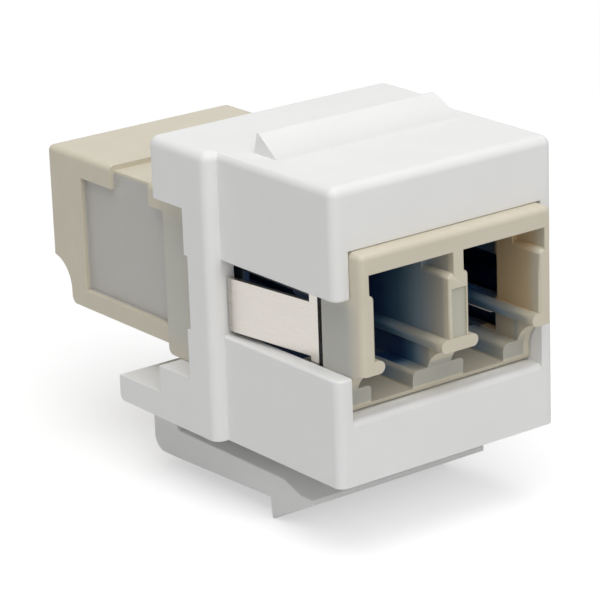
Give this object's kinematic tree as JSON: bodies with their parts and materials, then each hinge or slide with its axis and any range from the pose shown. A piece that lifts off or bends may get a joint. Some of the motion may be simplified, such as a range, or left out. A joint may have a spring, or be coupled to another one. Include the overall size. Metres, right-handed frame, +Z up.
{
  "type": "fibre keystone coupler",
  "caption": "Snap-in keystone housing with a sprung latch, holding a duplex fibre adapter that joins small-form plugs end to end.",
  "frame": {"origin": "middle of the plane where the flange seats on the back of the panel", "axes": "+X to the right seen from the front, +Y to the rear along the plugs' axis, +Z up with the latch below"},
  "size_m": [0.0164, 0.029, 0.0217],
  "materials": {
    "white_abs": "fine moulded satin",
    "beige_pbt": "fine moulded satin",
    "spring_steel": "rolled bright",
    "zirconia": "ground smooth"
  },
  "bodies": {
    "housing": {"keystone_housing": "white_abs", "adapter_front_half": "beige_pbt", "adapter_rear_half": "beige_pbt", "retaining_clip": "spring_steel", "left_alignment_sleeve": "zirconia", "right_alignment_sleeve": "zirconia"},
    "latch": {"keystone_latch": "white_abs"}
  },
  "joints": [
    {"name": "latch_flex", "type": "hinge", "parent": "housing", "child": "latch", "pos_m": [0, 0.00695, -0.01072], "axis": [-1, 0, 0], "range_deg": [0, 8], "stiffness_Nm_per_rad": 0.4}
  ]
}
